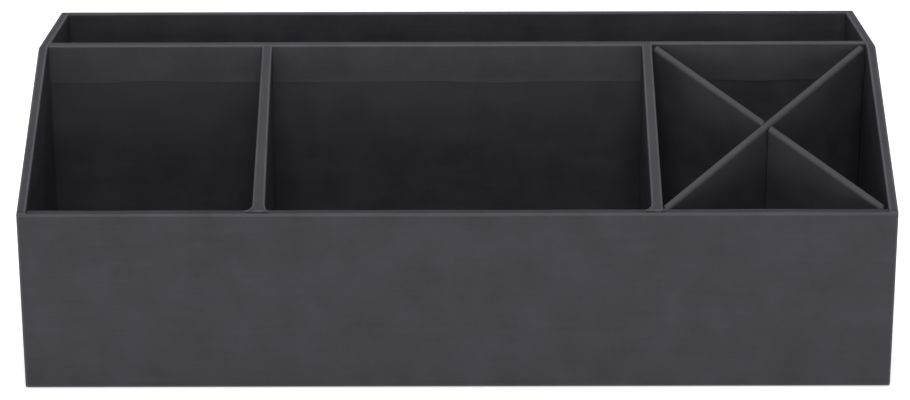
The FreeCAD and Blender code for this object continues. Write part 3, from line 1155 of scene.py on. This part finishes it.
@dataclass
class Linings:
    """All lining sheets and panels."""

    planes: Planes
    wardrobe: Wardrobe
    turn_in: float = 15.0 * MM
    tuck: float = 1.2 * MM

    def build(self) -> None:
        """Builds and dresses the linings."""
        p = self.planes
        facing = p.facing_end - p.paper
        bays = TroughLining(
            p, "front_bays_lining_sheet", p.front_height - self.turn_in + self.tuck,
            p.height - self.turn_in + self.tuck, p.front_in + p.lining,
            [(-p.side_in, facing, p.facing_front - p.lining),
             (facing + p.lining, p.side_in, p.cross_rear + p.paper - p.lining)])
        slot_rear = p.rear_in - p.lining
        slot = TroughLining(
            p, "rear_slot_lining_sheet", p.height - self.turn_in + self.tuck,
            p.height - self.turn_in + self.tuck, p.divider_rear - p.paper + p.lining,
            [(-p.side_in, p.side_in, slot_rear)])
        self.wardrobe.dress(bays.build(), LINING_PAPER, BOX_BODY, "front_bay_lining")
        self.wardrobe.dress(slot.build(), LINING_PAPER, BOX_BODY, "rear_slot_lining")
        for hand, sign in (("left", -1), ("right", 1)):
            for place in ("front", "rear"):
                node = f"{hand}_{place}_side_lining"
                panel = SideLining(p, node, sign).build()
                self.wardrobe.dress(panel, LINING_PAPER, BOX_BODY, node)


# ---- cross divider ---------------------------------------------------------------------------------
class Panel(Enum):
    """The two cross panels: the turn of each across its bay, +1 or -1."""

    UPPER = 1
    LOWER = -1


@dataclass
class CrossPanel:
    """One loose panel of the cross divider: bare greyboard under folded paper."""

    planes: Planes
    wardrobe: Wardrobe
    panel: Panel
    board: float = 2.0 * MM
    radius: float = 0.7 * MM
    drop: float = 0.3 * MM
    foot_gap: float = 0.2 * MM
    slot_side_gap: float = 0.3 * MM
    slot_depth_gap: float = 0.5 * MM
    # Strength of the painted highlight and burnishing on the folds, weaker on the loose panels.
    highlight_and_burnish: float = 0.3
    rows: int = 6
    slot_step: float = 1.5 * MM
    step: float = 3.0 * MM

    def __post_init__(self) -> None:
        """Reads the panel's place from its node."""
        self.name = self.panel.name.lower() + "_cross_panel"
        low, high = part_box(self.name + "_wrap")
        self.centre = (low + high) / 2
        p = self.planes
        across, along = p.cross_rear - p.bay_front, p.bay_side - p.facing_end
        self.angle = math.atan2(across, along)
        sine, cosine = math.sin(self.angle), math.cos(self.angle)
        wrap_width = high.x - low.x
        # The box of a turned panel is its length times the cosine plus its thickness times the sine.
        self.thickness = self.board + 2 * p.paper
        self.half = (wrap_width - self.thickness * sine) / cosine / 2

    def place(self, along: float, out: float, z: float) -> Vector:
        """Point on the panel.

        Args:
            along: Distance from the crossing.
            out: Distance from the panel's middle plane.
            z: Height.

        Returns:
            The point in the frame.
        """
        turn = self.panel.value * self.angle
        x = self.centre.x + along * math.cos(turn) - out * math.sin(turn)
        y = self.centre.y + along * math.sin(turn) + out * math.cos(turn)
        return Vector((x, y, z))

    def top(self, along: float, out: float) -> float:
        """Height of the panel's top at a point in plan; it slopes across the panel as well."""
        p = self.planes
        y = self.place(along, out, 0.0).y
        rise = (p.height - p.front_height) / (p.cross_rear - p.bay_front)
        return min(p.height, p.front_height + (y - p.bay_front) * rise) - self.drop * math.hypot(1, rise)

    def slot_level(self) -> float:
        """Height of this panel's slot end."""
        foot = self.planes.floor + self.foot_gap
        crossing = (self.planes.front_height + self.planes.height) / 2 - self.drop
        return (foot + crossing) / 2 + self.panel.value * self.slot_depth_gap / 2

    def slot_half(self) -> float:
        """Half the slot's width."""
        crossing = 2 * self.angle
        oblique = self.thickness * (1 + abs(math.cos(crossing))) / math.sin(crossing)
        return oblique / 2 + self.slot_side_gap

    def section(self, along: float) -> list[Vector]:
        """Points from one foot over the top to the other foot."""
        foot, level = self.planes.floor + self.foot_gap, self.slot_level()
        rise = math.sin(self.angle) * (self.planes.height - self.planes.front_height) / (
            self.planes.cross_rear - self.planes.bay_front)
        stretch, r, half = math.hypot(1, rise), self.radius, self.thickness / 2
        sides = []
        for hand in (1, -1):
            high = self.top(along, hand * half) - r * stretch - FADE
            side = [(half, foot + (level - foot) * i / self.rows) for i in range(self.rows)]
            side += [(half, level + (high - level) * i / self.rows) for i in range(self.rows + 1)]
            for a in quarter(3):
                out = half - r * (1 - math.cos(a))
                side.append((out, self.top(along, hand * out) - r * stretch * (1 - math.sin(a))))
            sides.append([self.place(along, hand * out, z) for out, z in side])
        return sides[0] + sides[1][::-1]

    def paper(self) -> bpy.types.Object:
        """Paper over both faces and the top, cut away at the slot."""
        gap = self.slot_half()
        stops = spread(-self.half, -gap, self.step) + spread(-gap, gap, self.slot_step)[1:]
        stops += spread(gap, self.half, self.step)[1:]
        columns = [self.section(along) for along in stops]
        count = len(columns[0])

        def keep(i: int, j: int) -> bool:
            """Leaves the slot open, below its end or above it."""
            if abs(stops[i] + stops[i + 1]) / 2 > gap:
                return True
            below = j < self.rows or j >= count - self.rows - 1
            return below != (self.panel is Panel.UPPER)

        surface = Surface()
        surface.grid(columns, keep)
        piece = surface.shell(self.name + "_paper", self.planes.paper)
        mark_folds(piece, self.highlight_and_burnish)
        return piece

    def build(self) -> None:
        """Builds the panel's paper and dresses it and its board."""
        self.wardrobe.dress(self.paper(), COVER_PAPER, self.name, self.name + "_wrap")
        self.wardrobe.dress_node(self.name + "_board", GREYBOARD)


# ---- underside -----------------------------------------------------------------------------------------
@dataclass
class Underside:
    """Base board and the sheet that closes the turned-under flaps."""

    planes: Planes
    wardrobe: Wardrobe
    turn_under: float = 15.0 * MM
    ramp: float = 1.6 * MM
    ramp_steps: int = 4
    edge_step: float = 4.0 * MM
    middle_step: float = 12.0 * MM

    def build(self) -> None:
        """Builds the base paper and dresses it and the base board."""
        p, surface = self.planes, Surface()
        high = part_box("base_paper")[1]

        def stops(end: float, edge: float) -> list[float]:
            """Grid lines, denser where the sheet dips off the flaps."""
            inner = edge - self.turn_under
            half = spread(0.0, inner - self.ramp, self.middle_step)
            half += spread(inner - self.ramp, inner, self.ramp / self.ramp_steps)[1:]
            half += spread(inner, end, self.edge_step)[1:]
            return [-v for v in reversed(half)] + half[1:]

        def level(x: float, y: float) -> float:
            """Underside of the sheet: on the flaps, or up against the base board."""
            depth = min(p.side - self.turn_under - abs(x), p.rear - self.turn_under - abs(y))
            share = max(0.0, min(1.0, depth / self.ramp))
            return p.paper * share * share * (3 - 2 * share)

        xs, ys = stops(high.x, p.side), stops(high.y, p.rear)
        surface.grid([[Vector((x, y, level(x, y))) for y in ys] for x in xs])
        sheet = surface.shell("underside_cover_sheet", p.paper)
        self.wardrobe.dress(sheet, BASE_PAPER, BOX_BODY, "base_paper")
        self.wardrobe.dress_node("base_board", GREYBOARD)


# ---- studio ---------------------------------------------------------------------------------------------
@dataclass(frozen=True)
class Studio:
    """Plain white floor, soft white surround and the camera."""

    lens: float = 101.48
    distance: float = 0.95669
    aim: tuple[float, float] = (-0.0008, 0.07492)
    pitch: float = 0.3021
    yaw: float = -0.0021
    roll: float = -0.0029
    behind: float = 0.44
    ahead: float = 0.15
    floor_glow: float = 0.5

    def camera(self) -> None:
        """Camera a little above the front, looking down at the box."""
        target = Vector((self.aim[0], CAD_BOX[0].y, self.aim[1]))
        ahead = Vector((math.sin(self.yaw) * math.cos(self.pitch),
                        math.cos(self.yaw) * math.cos(self.pitch), -math.sin(self.pitch)))
        level = Vector((math.cos(self.yaw), -math.sin(self.yaw), 0.0))
        upright = level.cross(ahead)
        right = math.cos(self.roll) * level + math.sin(self.roll) * upright
        above = math.cos(self.roll) * upright - math.sin(self.roll) * level
        data = bpy.data.cameras.new("camera")
        data.lens = self.lens
        data.sensor_width = 36.0
        data.clip_start = 0.01
        camera = bpy.data.objects.new("camera", data)
        camera.matrix_world = Matrix((right, above, -ahead)).transposed().to_4x4()
        camera.matrix_world.translation = target - self.distance * ahead
        bpy.context.scene.collection.objects.link(camera)
        bpy.context.scene.camera = camera

    def floor(self) -> None:
        """Glowing white floor, so that the box casts next to no shadow."""
        mesh = bmesh.new()
        bmesh.ops.create_grid(mesh, x_segments=1, y_segments=1, size=6.0)
        floor = new_piece("studio_floor", mesh)
        floor.location.z = CAD_BOX[0].z - 0.1 * MM
        material = bpy.data.materials.new("studio_floor_white")
        material.use_nodes = True
        shader = material.node_tree.nodes["Principled BSDF"]
        shader.inputs["Base Color"].default_value = (0.9, 0.9, 0.9, 1.0)
        shader.inputs["Roughness"].default_value = 1.0
        shader.inputs["Specular IOR Level"].default_value = 0.0
        shader.inputs["Emission Color"].default_value = (1.0, 1.0, 1.0, 1.0)
        shader.inputs["Emission Strength"].default_value = self.floor_glow
        floor.data.materials.append(material)

    def surround(self) -> None:
        """White surround that is brighter behind the box than ahead of it."""
        world = bpy.data.worlds.new("studio_surround")
        bpy.context.scene.world = world
        world.use_nodes = True
        tree = world.node_tree
        way = add(tree, "ShaderNodeSeparateXYZ",
                  {0: add(tree, "ShaderNodeTexCoord").outputs["Generated"]})
        strength = add(tree, "ShaderNodeMapRange",
                       {"Value": way.outputs["Y"], "From Min": -0.45, "From Max": 0.5,
                        "To Min": self.ahead, "To Max": self.behind}, interpolation_type="SMOOTHSTEP")
        tree.links.new(strength.outputs[0], tree.nodes["Background"].inputs["Strength"])
        tree.nodes["Background"].inputs["Color"].default_value = (1.0, 1.0, 1.0, 1.0)

    def softbox(self, name: str, place: tuple[float, float, float], size: tuple[float, float],
                power: float) -> None:
        """Adds a soft rectangular light that faces the box.

        Args:
            name: Name of the light.
            place: Where it hangs.
            size: Width and height.
            power: Power in watts.
        """
        data = bpy.data.lights.new(name, "AREA")
        data.shape = "RECTANGLE"
        data.size, data.size_y = size
        data.energy = power
        light = bpy.data.objects.new(name, data)
        light.location = place
        light.rotation_mode = "QUATERNION"
        light.rotation_quaternion = (Vector((0, 0, 0.05)) - light.location).to_track_quat("-Z", "Y")
        bpy.context.scene.collection.objects.link(light)

    def lights(self) -> None:
        """Softboxes round the box: the strongest high in front, the others to even it out."""
        self.softbox("front_softbox", (0.0, -1.2, 1.2), (1.0, 0.7), 13.6)
        self.softbox("top_softbox", (0.0, 0.0, 1.5), (0.7, 0.6), 6.5)
        self.softbox("rear_softbox", (0.0, 0.8, 1.3), (0.9, 0.6), 2.1)
        self.softbox("left_softbox", (-1.2, -0.2, 1.0), (0.7, 0.7), 1.2)
        self.softbox("right_softbox", (1.2, -0.2, 1.0), (0.7, 0.7), 0.6)

    def build(self) -> None:
        """Sets up the studio."""
        self.camera()
        self.floor()
        self.surround()
        self.lights()
        bpy.context.scene.view_settings.view_transform = "Standard"


def main() -> None:
    """Builds every sub-assembly in order."""
    logging.basicConfig(level=logging.INFO, format="%(message)s")
    planes, wardrobe = Planes.read(), Wardrobe()
    Studio().build()
    OuterWalls(planes, wardrobe).build()
    MiddleDivider(planes, wardrobe).build()
    Partition(planes, wardrobe, "left", (2.2 * MM, 1.2 * MM), (0.15 * MM, 0.7 * MM)).build()
    Partition(planes, wardrobe, "right", (2.0 * MM, 0.2 * MM), (0.0, 0.4 * MM)).build()
    Linings(planes, wardrobe).build()
    for panel in Panel:
        CrossPanel(planes, wardrobe, panel).build()
    Underside(planes, wardrobe).build()


if __name__ == "__main__":
    main()
